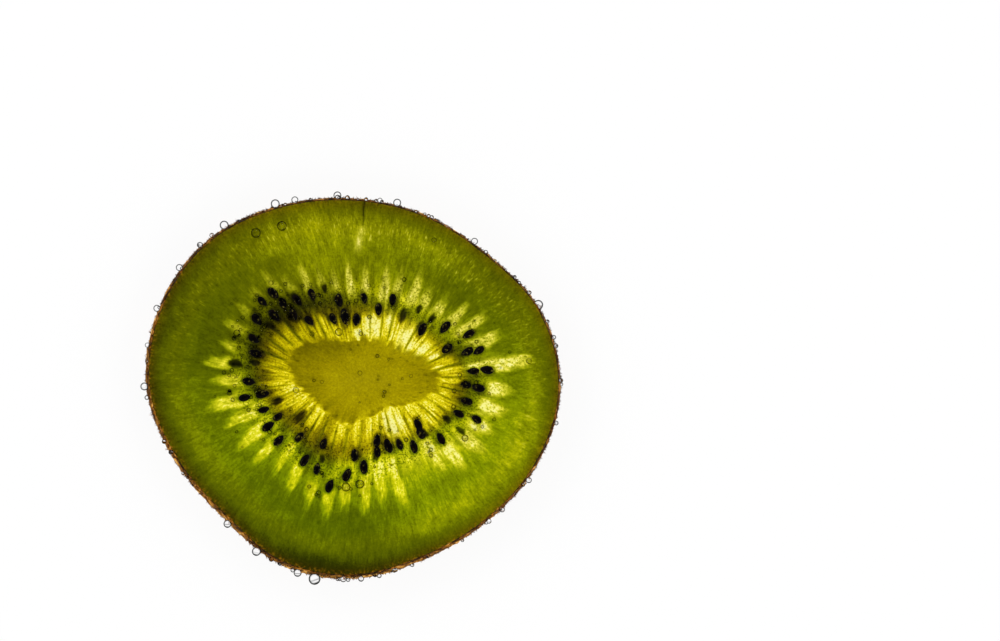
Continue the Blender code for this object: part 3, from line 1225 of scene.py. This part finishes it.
@dataclass
class FruitBody:
    """The fruit itself: one closed body with the seeded face, the side and the underside.

    On the sheet that it grows from, the core ends at a radius of 1, the face at 2 and the side
    at 3. The underside runs back to the core's edge at 4 and to the middle at 5.
    """

    plan: SeedPlan
    columns_per_pocket: int = 15
    hub: float = 0.04
    bands: tuple[Band, ...] = (
        Band(0.8, 7), Band(1.0, 12), Band(1.5, 62), Band(1.62, 12), Band(1.95, 20), Band(2.0, 6),
        Band(3.0, 4), Band(3.02, 1), Band(3.52, 5), Band(3.9, 18), Band(4.0, 2), Band(5.0, 4),
    )
    side_inset: float = 0.12 * MM
    ring_relief: float = 0.02 * MM
    fibre_relief: float = 0.035 * MM
    seed_lip: float = 0.07 * MM
    seed_lip_reach: float = 1.02
    seed_lip_width: float = 0.2545
    core_groove: float = 0.015 * MM
    rim_round: float = 0.10 * MM
    rim_round_start: float = 0.985
    rim_meeting: float = 0.965
    under_seed_level: float = 0.02
    sharp: float = 60.0

    # Half width and middle of the two faces on the bake map, and the side's corner and size there
    face_map: tuple[float, tuple[float, float]] = (0.33, (0.335, 0.665))
    under_map: tuple[float, tuple[float, float]] = (0.16, (0.835, 0.835))
    side_map: tuple[float, float, float, float] = (0.01, 0.05, 0.97, 0.2)
    map_margin: float = 1.01

    def build(self) -> None:
        """Model the body, paint it and let it stand for the flesh and the core."""
        piece = grow_sheet("fruit", POCKETS * self.columns_per_pocket, self.hub, self.bands, filled=True)
        turn, reach = read_plan(piece)
        at = Spots(turn, np.where(reach <= 2, reach - 1, np.where(reach <= 3, 1.0, 4 - reach)))
        points = self.surface(at, reach)
        write_points(piece, points)
        self.paint(piece, at._replace(xy=points[:, :2]), reach > 3)
        self.lay_out(piece, turn, reach, points)
        close_seams(piece)
        dress(piece, FruitFinish(), Slot.FLESH, self.sharp)
        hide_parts("flesh", "core")

    def surface(self, at: Spots, reach: Array) -> Array:
        """Place the body's vertices.

        Args:
            at: Their spots in the fruit.
            reach: Their radii on the sheet.

        Returns:
            The points.
        """
        form, row = self.plan.form, at.row
        angle, face = form.ray_angle(at.turn), form.place(at)
        rounding = np.clip((row - self.rim_round_start) / (1 - self.rim_round_start), 0, 1)
        top = form.height(at) + self.relief(at._replace(xy=face))
        top -= self.rim_round * (1 - np.sqrt(1 - rounding**2))
        down = np.clip(reach - 2, 0, 1)
        side = form.rim_edge(angle, form.lean(angle) * (1 - down) + self.side_inset)
        side_height = blend(form.rim_height - self.rim_round, form.edge_round, down)
        foot = form.rim_edge(angle, form.edge_round + self.side_inset)
        under = blend(form.core_edge(angle), foot, np.clip(row, 0, 1)[:, None])
        under = np.where(row[:, None] >= 0, under, face)
        # The face's outermost rows draw in to meet the side
        rim = form.rim_edge(angle, form.lean(angle) + self.side_inset)
        face = blend(face, rim, fade(row, self.rim_meeting, 1.0)[:, None])
        on_top, on_side = reach <= 2, reach <= 3
        flat = np.where(on_top[:, None], face, np.where(on_side[:, None], side, under))
        return np.column_stack([flat, np.where(on_top, top, np.where(on_side, side_height, 0.0))])

    def relief(self, at: Spots) -> Array:
        """Give the fine relief of the seeded face: fibres, cells and a lip round each seed.

        Args:
            at: Spots of the face.

        Returns:
            How far each is raised.
        """
        fibres, cells = grain(at, 4, 9, 31), grain(at, 7, 40, 32)
        outside = fade(at.row, 0.03, 0.12) * (1 - fade(at.row, 0.93, 1.0))
        columns = np.cos(3 * math.tau * at.turn + 2 * fibres) * hump(at.row, 0.11, 0.07)
        lips = [hump(self.plan.reach(seed, at.xy), self.seed_lip_reach, self.seed_lip_width)
                for seed in self.plan.seeds]
        return (self.fibre_relief * (fibres + 0.6 * cells) * outside + self.ring_relief * columns
                - self.core_groove * hump(at.row, 0.0, 0.035) + self.seed_lip * np.max(lips, axis=0))

    def paint(self, piece: Piece, at: Spots, under: Array) -> None:
        """Keep brightness, leafiness and the grain's directions as attributes.

        Args:
            piece: The body.
            at: Its vertices' spots in the fruit.
            under: Whether they lie on the underside.
        """
        painted = Complexion(self.plan, at).paint()
        seeded = np.min([self.plan.reach(seed, at.xy) for seed in self.plan.seeds], axis=0) < 1
        level = np.where(under & seeded, self.under_seed_level, painted.level)
        show = np.clip(FIBRE_SHOW.around(at.turn), 0, 1)
        rind = fade(at.row, 0.955, 1.0) * (0.25 + 0.75 * RUST.around(at.turn))
        angle = math.tau * at.turn / POCKETS
        write_values(
            piece, **painted._replace(level=level)._asdict(), rind=np.clip(rind, 0, 1),
            fibre_show=show * fade(at.row, 0.62, 0.76) * (1 - fade(at.row, 0.86, 0.94)),
            core=1 - fade(at.row, -0.06, 0.03), grain=np.column_stack([polar(1.0, angle), at.row]),
        )

    def lay_out(self, piece: Piece, turn: Array, reach: Array, points: Array) -> None:
        """Lay the seeded face, the underside and the side out on the bake map.

        Args:
            piece: The body.
            turn: Its vertices' turns.
            reach: Their radii on the sheet.
            points: Their places.
        """
        corners = corner_vertices(piece)
        spread = points[corners, :2] / (self.plan.form.width / 2 * self.map_margin)
        top, under = (spread * half + middle for half, middle in (self.face_map, self.under_map))
        totals = np.zeros(len(piece.data.polygons), np.int32)
        piece.data.polygons.foreach_get("loop_total", totals)
        starts = np.concatenate([[0], np.cumsum(totals)[:-1]])
        mean = np.repeat(np.add.reduceat(reach[corners], starts) / totals, totals)[:, None]
        # A face across the turn's end has its near corners moved on by one round
        around = turn[corners] / POCKETS
        around += np.repeat(np.maximum.reduceat(around, starts), totals) - around > 0.5
        left, foot, wide, high = self.side_map
        side = np.column_stack([left + wide * around, foot + high * (reach[corners] - 2)])
        write_bake_map(piece, np.where(mean <= 2, top, np.where(mean > 3, under, side)))


@dataclass
class Skin:
    """The thin brown skin round the side, with an uneven lip at both edges.

    Its knots run round its cross-section: down the outside, under the foot, up the inside and
    over the lip. Each has a level, from the foot up, and an inset in depths.
    """

    form: SliceForm
    columns_per_pocket: int = 18
    rows: int = 26
    depth: float = 0.22 * MM
    lip: float = 0.14 * MM
    lump: float = 0.34 * MM
    foot: float = 0.04 * MM
    drop: float = 0.07 * MM
    ridge: float = 0.03
    knots: tuple[float, ...] = (0.0, 0.06, 0.46, 0.52, 0.58, 0.94, 1.0)
    levels: tuple[float, ...] = (0.97, 0.90, 0.06, 0.0, 0.03, 0.97, 0.97)
    insets: tuple[float, ...] = (0.35, 0.0, 0.0, 0.4, 1.0, 1.0, 0.35)
    sharp: float = 70.0

    def build(self) -> None:
        """Model the skin as a closed band and dress it."""
        columns = POCKETS * self.columns_per_pocket
        piece = grow_sheet("skin", columns, 1.0, (Band(2.0, self.rows),), filled=False)
        turn, reach = read_plan(piece)
        points, painted = self.surface(turn, reach - 1)
        write_points(piece, points)
        write_values(piece, **painted)
        close_seams(piece)
        dress(piece, SkinFinish(), Slot.SKIN, self.sharp)

    def surface(self, turn: Array, share: Array) -> tuple[Array, dict[str, Array]]:
        """Place the band's vertices round its cross-section.

        Args:
            turn: Each vertex's turn.
            share: How far round the cross-section it lies, from 0 to 1.

        Returns:
            The points, and by name how rusty the skin is at each, how near it is to the torn
            upper lip, and how much painted light from the glowing floor makes it paler near the foot.
        """
        # The cross-section ends where it starts, so both ends get the same grain
        edge, round_it = Spots(turn, np.zeros_like(turn)), Spots(turn, np.round(share, 6) % 1 * 2 - 1)
        ragged = 0.5 * grain(edge, 3, 1, 41) + 0.9 * grain(edge, 8, 1, 42)
        level, inset = (np.interp(share, self.knots, values) for values in (self.levels, self.insets))
        level += self.ridge * (hump(share, 0.0, self.ridge) + hump(share, 1.0, self.ridge))
        inset *= 1 + 0.9 * grain(edge, 7, 1, 44) * (inset > 0.9) * (level > 0.9)
        lumps = (grain(round_it, 5, 6, 43) + grain(round_it, 9, 14, 45)) / 2 * self.lump * (inset < 0.3)
        angle = self.form.ray_angle(turn)
        flat = self.form.rim_edge(angle, self.form.lean(angle) * level + self.depth * inset - lumps)
        top = self.form.rim_height - self.drop + self.lip * ragged
        patches, flecks = grain(round_it, 1.5, 5, 46), grain(round_it, 6, 16, 47)
        rust = 0.80 * RUST.around(turn) + 0.45 * patches + 0.50 * flecks
        return np.column_stack([flat, blend(self.foot, top, level)]), {
            "rust": np.clip(rust, 0, 1),
            "lip": fade(level + 0.3 * flecks, 0.72, 0.92),
            # Painted light: paler near the foot, where the glowing floor lights the side
            "low": 0.18 * (1 - fade(level + 0.5 * patches, 0.05, 0.60)),
        }


@dataclass
class Fuzz:
    """Short wet hairs on the skin that cling together in tufts.

    More of them stand low on the side, where they show against the floor.
    """

    form: SliceForm
    tufts: int = 640
    hairs_per_tuft: int = 7
    thickness: float = 0.10 * MM
    lengths: tuple[float, float] = (0.10 * MM, 0.36 * MM)
    heights: tuple[float, float] = (0.06, 0.95)
    low_bias: float = 1.6
    swing: float = 0.45
    lift: tuple[float, float] = (-0.05, 0.35)
    root_spread: float = 0.20 * MM
    root_depth: float = 0.05 * MM
    root_margins: tuple[float, float] = (0.2 * MM, 0.1 * MM)
    tip_spread: float = 0.07 * MM
    tip_margin: float = 0.1 * MM
    droop: float = 0.25
    floor_gap: float = 0.02 * MM
    tints: int = 64
    draw: int = 77

    def build(self) -> None:
        """Model one hair, copy it and stand the copies on the skin."""
        clear_selection()
        bpy.ops.mesh.primitive_cone_add(
            vertices=3, radius1=0.5, radius2=0.0, depth=1.0, location=(0, 0, 0.5)
        )
        piece = take_active("fuzz")
        bpy.ops.object.transform_apply(location=True, rotation=True, scale=True)
        with editing("EDGE"):
            select(piece, lambda one, other: abs(one.z - other.z) > 0.5)
            bpy.ops.mesh.subdivide(number_cuts=1, smoothness=0)
        one = read_points(piece)
        count = self.tufts * self.hairs_per_tuft
        each = copy_along(piece, count)
        points, shade = self.stand(one, count)
        write_points(piece, points)
        write_values(piece, shade=shade)
        corners = corner_vertices(piece)
        tint = np.random.default_rng(self.draw + 1).integers(0, self.tints, count)[corners // each]
        write_bake_map(piece, np.column_stack([(tint + 0.5) / self.tints, 0.05 + 0.9 * shade[corners]]))
        dress(piece, FuzzFinish(), Slot.SKIN)

    def stand(self, one: Array, count: int) -> tuple[Array, Array]:
        """Place every hair: roots spread over the skin, tips drawn together in each tuft.

        Args:
            one: The vertices of the modelled hair, root at 0 and tip at 1.
            count: How many hairs there are.

        Returns:
            The points of all hairs, and their shade from root to tip.
        """
        form, tufts, draw = self.form, self.tufts, np.random.default_rng(self.draw)
        tuft = np.repeat(np.arange(tufts), self.hairs_per_tuft)
        middle_angle = (np.arange(tufts) + draw.uniform(-0.5, 0.5, tufts)) / tufts * math.tau
        middle_height = blend(*self.heights, draw.random(tufts) ** self.low_bias) * form.rim_height
        length = draw.uniform(*self.lengths, tufts) * draw.uniform(0.7, 1.0, tufts)
        swing, lift = draw.normal(0, self.swing, tufts), draw.normal(*self.lift, tufts)

        root_angle = middle_angle[tuft] + draw.normal(0, self.root_spread, count) / (form.width / 2)
        root_height = middle_height[tuft] + draw.normal(0, self.root_spread, count)
        root_height = np.clip(root_height, self.root_margins[0], form.rim_height - self.root_margins[1])
        root_lean = form.lean(root_angle) * root_height / form.thickness
        root = np.column_stack([form.rim_edge(root_angle, root_lean + self.root_depth), root_height])

        base = form.rim_edge(middle_angle, form.lean(middle_angle) * middle_height / form.thickness)
        tip_height = np.clip(middle_height + lift * length, self.tip_margin, None)
        tip = np.column_stack([base + polar(length, middle_angle + swing), tip_height])[tuft]
        arm = tip + draw.normal(0, self.tip_spread, (count, 3)) - root
        reach = np.linalg.norm(arm, axis=1, keepdims=True)
        sideways = np.cross(arm / reach, (0, 0, 1.0))
        sideways /= np.linalg.norm(sideways, axis=1, keepdims=True)
        upward = np.cross(sideways, arm / reach)

        x, y, z = one.T
        bow = reach * self.droop * draw.uniform(-1, 1, count)[:, None]
        points = (
            root[:, None] + arm[:, None] * z[:, None] + sideways[:, None] * (x * self.thickness)[:, None]
            + upward[:, None] * (y * self.thickness + z * (1 - z) * bow)[..., None]
        )
        points[..., 2] = np.clip(points[..., 2], self.floor_gap, None)
        tone = draw.uniform(-0.25, 0.15, count) + 0.50 * RUST.around(root_angle / math.tau * POCKETS)
        return points.reshape(-1, 3), np.clip(tone[:, None] + 0.50 * z, 0, 1).ravel()


@dataclass
class Seeds:
    """The black seeds, each a plump drop half sunk in the seeded face."""

    plan: SeedPlan
    segments: int = 20
    rings: int = 14
    slim_end: float = 0.56
    bend: float = 0.20
    lumpiness: float = 0.022
    draw: int = 900

    def build(self) -> None:
        """Model one seed, copy it and lay the copies in their pockets."""
        clear_selection()
        bpy.ops.mesh.primitive_uv_sphere_add(
            segments=self.segments, ring_count=self.rings, radius=1.0, rotation=(0, math.radians(-90), 0)
        )
        piece = take_active("seeds")
        bpy.ops.object.transform_apply(location=True, rotation=True, scale=True)
        # Draw the sphere out, ring by ring, into a drop with its slim end towards the core
        with editing("VERT"):
            for step in range(1, self.rings):
                place = math.cos(math.pi * step / self.rings)
                select(piece, lambda point: abs(point.x - place) < NEAR, edges=False)
                width = 1 + self.plan.taper * place - self.slim_end * max(0.0, -place) ** 2.2
                bpy.ops.transform.resize(value=(1, width, width), center_override=(place, 0, 0))
        one = read_points(piece)
        copy_along(piece, len(self.plan.seeds))
        copies = [self.lay(one, seed, number) for number, seed in enumerate(self.plan.seeds)]
        write_points(piece, np.concatenate(copies))
        dress(piece, SeedFinish(), Slot.SEED)

    def lay(self, one: Array, seed: Seed, number: int) -> Array:
        """Place one copy of the seed, a little uneven.

        Args:
            one: The modelled seed's vertices.
            seed: The copy's place.
            number: The copy's number, which sets its unevenness.

        Returns:
            The copy's vertices.
        """
        plan, draw = self.plan, np.random.default_rng(self.draw + number)
        middle, heading = plan.pose(seed)
        half = np.array([plan.length, plan.breadth, plan.height]) * seed.size / 2
        waves = one @ draw.normal(0, 2.6, (3, 4)) + draw.uniform(0, 6, 4)
        body = one * half * (1 + self.lumpiness * np.sin(waves).sum(1))[:, None]
        body[:, 1] += half[1] * draw.uniform(-self.bend, self.bend) * one[:, 0] ** 2
        ahead = np.array([math.cos(heading), math.sin(heading)])
        turned = body[:, :1] * ahead + body[:, 1:2] * (-ahead[1], ahead[0])
        lift = plan.form.height(Spots(*np.array([[seed.turn], [seed.row]]))) + plan.proud - half[2]
        return np.column_stack([turned + middle, body[:, 2] + lift])


class Bead(NamedTuple):
    """A bead by its pixel in the photo's frame and its width in pixels."""

    x: float
    y: float
    width: float


FACE_BEADS = tuple(Bead(*row) for row in (
    (256, 233, 10), (282, 226, 10), (434, 240, 5), (346, 487, 9), (360, 484, 9), (339, 332, 8), (296, 390, 6),
    (237, 333, 7), (465, 438, 7), (529, 361, 6), (360, 373, 5), (411, 376, 4), (322, 382, 4), (312, 334, 5),
    (271, 283, 5),
))
RIM_BEADS = tuple(Bead(*row) for row in (
    (220, 221, 9), (175, 265, 7), (151, 306, 7), (139, 386, 8), (143, 344, 5), (197, 243, 6), (208, 232, 5),
    (291, 191, 7), (336, 193, 8), (273, 201, 9), (379, 198, 5), (396, 202, 8), (474, 240, 7), (538, 304, 10),
    (223, 527, 8), (254, 553, 9), (295, 577, 8), (312, 585, 12), (342, 580, 6), (360, 583, 6), (374, 575, 6),
    (395, 571, 4), (530, 481, 6), (502, 510, 6), (489, 522, 5),
))


def pixel_to_place(x: float, y: float, form: SliceForm) -> Array:
    """Turn a pixel of the photo's frame into a flat place on the slice."""
    return np.array([x - SLICE_MIDDLE_PIXEL[0], SLICE_MIDDLE_PIXEL[1] - y]) * form.width / SLICE_PIXELS


class Ball(NamedTuple):
    """A placed bead: its middle and its radius."""

    middle: Array
    radius: float


@dataclass
class Beads:
    """Clear beads that cling to the seeded face and to the skin."""

    plan: SeedPlan
    belt_count: int = 230
    crowd_count: int = 90
    crowd_turn: tuple[float, float] = (18.3, 2.2)
    crowd_rows: tuple[float, float] = (0.18, 0.48)
    core_count: int = 12
    rim_count: int = 130
    radii: tuple[float, float] = (0.12 * MM, 0.34 * MM)
    rim_radii: tuple[float, float] = (0.10 * MM, 0.34 * MM)
    sink: float = 0.25
    rim_level: float = 0.62
    foot: float = -0.45
    foot_squash: float = 0.85
    # Which way the painted shade crescent faces, in degrees
    crescent_side: float = 268.0
    draw: int = 58

    def build(self) -> None:
        """Make the named large beads and the strewn small ones."""
        named = [self.named(bead, on_rim) for beads, on_rim in ((FACE_BEADS, False), (RIM_BEADS, True))
                 for bead in beads]
        self.strew("beads_large", (24, 18), named, WaterFinish("clear_bead", 0.20, 0.42, 0.16))
        self.strew("beads_small", (8, 6), self.strewn(), WaterFinish("small_bead", 0.10, 0.34, 0.06))

    def on_face(self, flat: Array, surface: float, radius: float) -> Ball:
        """Sink a bead a little into the face at a flat place."""
        return Ball(np.array([*flat, surface + radius * (1 - 2 * self.sink)]), radius)

    def rim_ray(self, angle: float, share: float) -> tuple[Array, Array]:
        """Find the skin at an angle.

        Args:
            angle: The angle.
            share: How far up the side.

        Returns:
            The skin's flat point, and the flat way outwards.
        """
        turned = np.array([angle])
        edge = self.plan.form.rim_edge(turned, self.plan.form.lean(turned) * share)[0]
        return edge, edge / np.linalg.norm(edge)

    def named(self, bead: Bead, on_rim: bool) -> Ball:
        """Place a named bead on the face, or against the skin as near as it can hang.

        Args:
            bead: The bead.
            on_rim: Whether it hangs against the skin.

        Returns:
            The placed bead.
        """
        form = self.plan.form
        radius = bead.width / 2 * form.width / SLICE_PIXELS
        flat = pixel_to_place(bead.x, bead.y, form)
        if not on_rim:
            return self.on_face(flat, form.thickness, radius)
        edge, outward = self.rim_ray(math.atan2(flat[1], flat[0]), self.rim_level)
        reach = min(np.linalg.norm(flat), np.linalg.norm(edge) + radius * 0.85)
        return Ball(np.array([*(outward * reach), form.thickness * self.rim_level]), radius)

    def strewn(self) -> list[Ball]:
        """Draw the small beads: round the seeds, where the belt is darkest, on the core, along the skin.

        Returns:
            The placed beads.
        """
        form, draw, found = self.plan.form, np.random.default_rng(self.draw), []
        for number in range(self.belt_count + self.crowd_count + self.core_count):
            seed = self.plan.seeds[draw.integers(len(self.plan.seeds))]
            turn = seed.turn + draw.normal(0, 0.5)
            row = seed.row + abs(draw.normal(0, 0.10)) * draw.choice([-0.6, 1.0])
            if number >= self.belt_count:
                turn, row = draw.normal(*self.crowd_turn), draw.uniform(*self.crowd_rows)
            if number >= self.belt_count + self.crowd_count:
                turn, row = draw.uniform(0, POCKETS), -draw.uniform(0.02, 0.9)
            at = Spots(np.array([turn]), np.array([row]))
            radius = blend(*self.radii, draw.random() ** 2)
            found.append(self.on_face(form.place(at)[0], form.height(at)[0], radius))
        for _ in range(self.rim_count):
            angle, radius = draw.uniform(0, math.tau), blend(*self.rim_radii, draw.random() ** 2)
            share = draw.uniform(0.2, 1.0)
            edge, outward = self.rim_ray(angle, share)
            height = max(form.rim_height * share, radius)
            found.append(Ball(np.array([*(edge + outward * radius * 0.7), height]), radius))
        return found

    def strew(self, name: str, fineness: tuple[int, int], balls: list[Ball], finish: WaterFinish) -> None:
        """Model one bead with a flattened foot, copy it and put the copies in their places.

        Args:
            name: The piece's name.
            fineness: The bead's segments and rings.
            balls: The placed beads.
            finish: The beads' finish.
        """
        clear_selection()
        bpy.ops.mesh.primitive_uv_sphere_add(segments=fineness[0], ring_count=fineness[1], radius=1.0)
        piece = take_active(name)
        with editing("VERT"):
            select(piece, lambda point: point.z < self.foot, edges=False)
            bpy.ops.transform.resize(value=(1, 1, self.foot_squash), center_override=(0, 0, -0.4))
        one = read_points(piece)
        each = copy_along(piece, len(balls))
        write_points(piece, np.concatenate([one * ball.radius + ball.middle for ball in balls]))
        # Beads on the face get less of the painted dark rim and crescent than those against the floor
        faint = [finish.faintness * (ball.middle[2] > 0.96 * self.plan.form.thickness) for ball in balls]
        # Each bead gets a painted shade crescent, strongest on beads that lie towards -y
        draw = np.random.default_rng(self.draw + len(balls))
        crescents = [self.crescent(one, ball.middle, draw) for ball in balls]
        write_values(piece, faint=np.repeat(faint, each), crescent=np.concatenate(crescents))
        dress(piece, finish, Slot.WATER)

    def crescent(self, one: Array, middle: Array, draw: np.random.Generator) -> Array:
        """Paint the shade painted on a bead that lies towards -y: a dark crescent and a thin dark chord.

        Args:
            one: The modelled bead's vertices.
            middle: Where the bead lies.
            draw: The draw that turns and weighs them.

        Returns:
            How dark the painted shade makes each vertex, from 0 to 1.
        """
        heading = math.radians(self.crescent_side) + draw.normal(0, 0.3)
        aside = one[:, 0] * math.cos(heading) + one[:, 1] * math.sin(heading)
        chord = hump(aside, draw.uniform(0.05, 0.30), 0.12) * draw.uniform(0.5, 1.2) * (one[:, 2] > -0.3)
        low = fade(-middle[1] / self.plan.form.width, -0.2, 0.3)
        return np.clip(low * (1.2 * fade(aside, 0.48, 0.76) + chord), 0, 1)


class Softbox(NamedTuple):
    """A softbox: its name, its place and its power."""

    name: str
    place: tuple[float, float, float]
    power: float


@dataclass
class Studio:
    """The pale floor, the soft light all round and the camera straight above."""

    form: SliceForm
    floor_width: float = 3.0
    floor_gap: float = 0.02 * MM
    lens: float = 180.0
    sensor: float = 36.0
    sky_strength: float = 1.75
    # Brightness of the light all round by its height, dark straight above
    sky_stops: tuple[tuple[float, float], ...] = ((0.0, 0.6), (0.30, 1.0), (0.70, 1.0), (0.84, 0.02))
    softbox_width: float = 0.34
    softboxes: tuple[Softbox, ...] = (
        Softbox("key_softbox", (-0.50, 0.40, 0.42), 0.7), Softbox("fill_softbox", (0.52, -0.34, 0.38), 0.4),
    )

    def build(self) -> None:
        """Set up floor, light and camera."""
        self.floor()
        self.sky()
        for softbox in self.softboxes:
            self.hang(softbox)
        self.camera()

    def floor(self) -> None:
        """Lay the floor."""
        clear_selection()
        bpy.ops.mesh.primitive_plane_add(size=self.floor_width, location=(0, 0, -self.floor_gap))
        floor = take_active("floor")
        floor.data.materials.append(FloorFinish().build())

    def sky(self) -> None:
        """Surround the slice with soft light that is dark straight above."""
        world = bpy.context.scene.world = bpy.data.worlds.new("studio")
        bench = Bench(world, "Background")
        height = bench.node("SeparateXYZ", "Z", {0: bench.node("TexCoord", "Generated", {})})
        stops = [(place, (bright, bright, bright, 1.0)) for place, bright in self.sky_stops]
        bench.set(Color=bench.ramp(height, stops), Strength=self.sky_strength)

    def hang(self, softbox: Softbox) -> None:
        """Hang a softbox that faces the slice.

        Args:
            softbox: The softbox.
        """
        lamp = bpy.data.lights.new(softbox.name, "AREA")
        lamp.shape, lamp.size, lamp.energy = "SQUARE", self.softbox_width, softbox.power
        hung = bpy.data.objects.new(softbox.name, lamp)
        hung.location = softbox.place
        hung.rotation_euler = (-hung.location).to_track_quat("-Z", "Y").to_euler()
        bpy.context.scene.collection.objects.link(hung)

    def camera(self) -> None:
        """Look straight down, with the slice where the photo has it."""
        scene = bpy.context.scene
        data = bpy.data.cameras.new("camera")
        data.lens, data.sensor_width = self.lens, self.sensor
        data.clip_start, data.clip_end = 0.01, 10
        camera = bpy.data.objects.new("camera", data)
        width, height = PHOTO_PIXELS
        away = width * self.form.width / SLICE_PIXELS * self.lens / self.sensor
        camera.location = (*pixel_to_place(width / 2, height / 2, self.form), self.form.thickness + away)
        camera.rotation_euler = (0, 0, 0)
        scene.collection.objects.link(camera)
        scene.camera = camera
        scene.view_settings.view_transform, scene.view_settings.look = "Standard", "None"


def main() -> None:
    """Build the slice's pieces in order, then the studio."""
    logging.basicConfig(level=logging.INFO, format="%(name)s %(message)s")
    low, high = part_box("flesh")
    form = SliceForm(width=high.x - low.x)
    plan = SeedPlan(form)
    for built in (FruitBody(plan), Skin(form), Fuzz(form), Seeds(plan), Beads(plan), Studio(form)):
        built.build()


if __name__ == "__main__":
    main()
